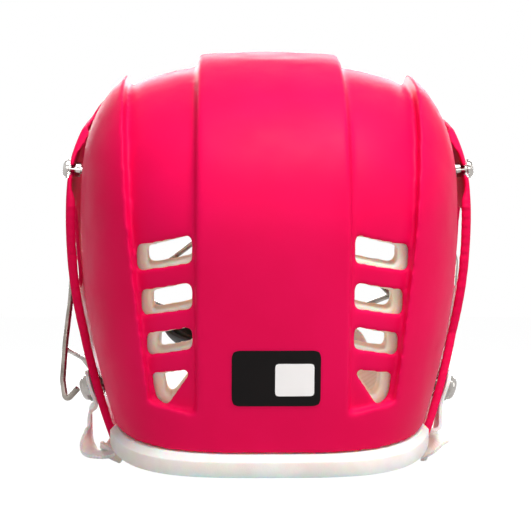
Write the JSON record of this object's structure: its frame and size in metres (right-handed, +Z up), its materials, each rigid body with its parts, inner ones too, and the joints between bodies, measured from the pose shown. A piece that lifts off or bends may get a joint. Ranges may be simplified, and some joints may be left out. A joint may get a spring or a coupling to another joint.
{
  "type": "hurling helmet",
  "caption": "Two-part sport helmet with a vented rear shell, winged front shell, foam lining, neck band, wire face guard and a strapped chin cup.",
  "frame": {"origin": "middle of the footprint box, at the surface the helmet stands on, resting on its neck band and chin wire", "axes": "+Z up, face towards -Y, the wearer's left towards +X; the helmet stands tilted back by 12 degrees"},
  "size_m": [0.226, 0.2812, 0.2257],
  "materials": {
    "shell": "matte moulded red-pink plastic",
    "foam": "cream closed-cell foam",
    "band": "firm white foam",
    "wire": "plated steel wire",
    "screw": "plated steel",
    "clip": "black moulded plastic",
    "cup": "black moulded plastic",
    "lining": "soft dark foam",
    "strap": "white woven webbing"
  },
  "bodies": {
    "rear": {"rear_shell": "shell", "rear_liner_left": "foam", "rear_liner_right": "foam", "crown_pad": "foam", "neck_band": "band", "adjusting_screw_left": "screw", "adjusting_screw_right": "screw", "adjusting_washer_left": "screw", "adjusting_washer_right": "screw", "adjusting_spacer_left": "screw", "adjusting_spacer_right": "screw", "adjusting_nut_left": "screw", "adjusting_nut_right": "screw"},
    "front": {"front_shell": "shell", "brow_pad": "foam", "temple_pad_left": "foam", "temple_pad_right": "foam", "side_screw_left": "screw", "side_screw_right": "screw", "side_washer_left": "screw", "side_washer_right": "screw", "side_nut_left": "screw", "side_nut_right": "screw", "forehead_clip_left": "clip", "forehead_clip_right": "clip", "chin_strap_left": "strap", "chin_strap_right": "strap", "clip_nut_left": "screw", "clip_nut_right": "screw", "clip_screw_left": "screw", "clip_screw_right": "screw", "cup_rivet_left": "screw", "cup_rivet_right": "screw"},
    "guard": {"face_guard": "wire"},
    "cup": {"chin_cup": "cup", "chin_cup_lining": "lining"}
  },
  "joints": [
    {"name": "size_slide", "type": "slide", "parent": "rear", "child": "front", "axis": [0, -0.9781, 0.2079], "range_m": [-0.003, 0.01]},
    {"name": "guard_swing", "type": "hinge", "parent": "front", "child": "guard", "pos_m": [-0.00113, -0.11499, 0.1543], "axis": [-1, 0, 0], "range_deg": [0, 70]},
    {"name": "chin_cup_tilt", "type": "hinge", "parent": "front", "child": "cup", "pos_m": [0.00387, -0.0842, 0.07312], "axis": [1, 0, 0], "range_deg": [-15, 15]}
  ]
}
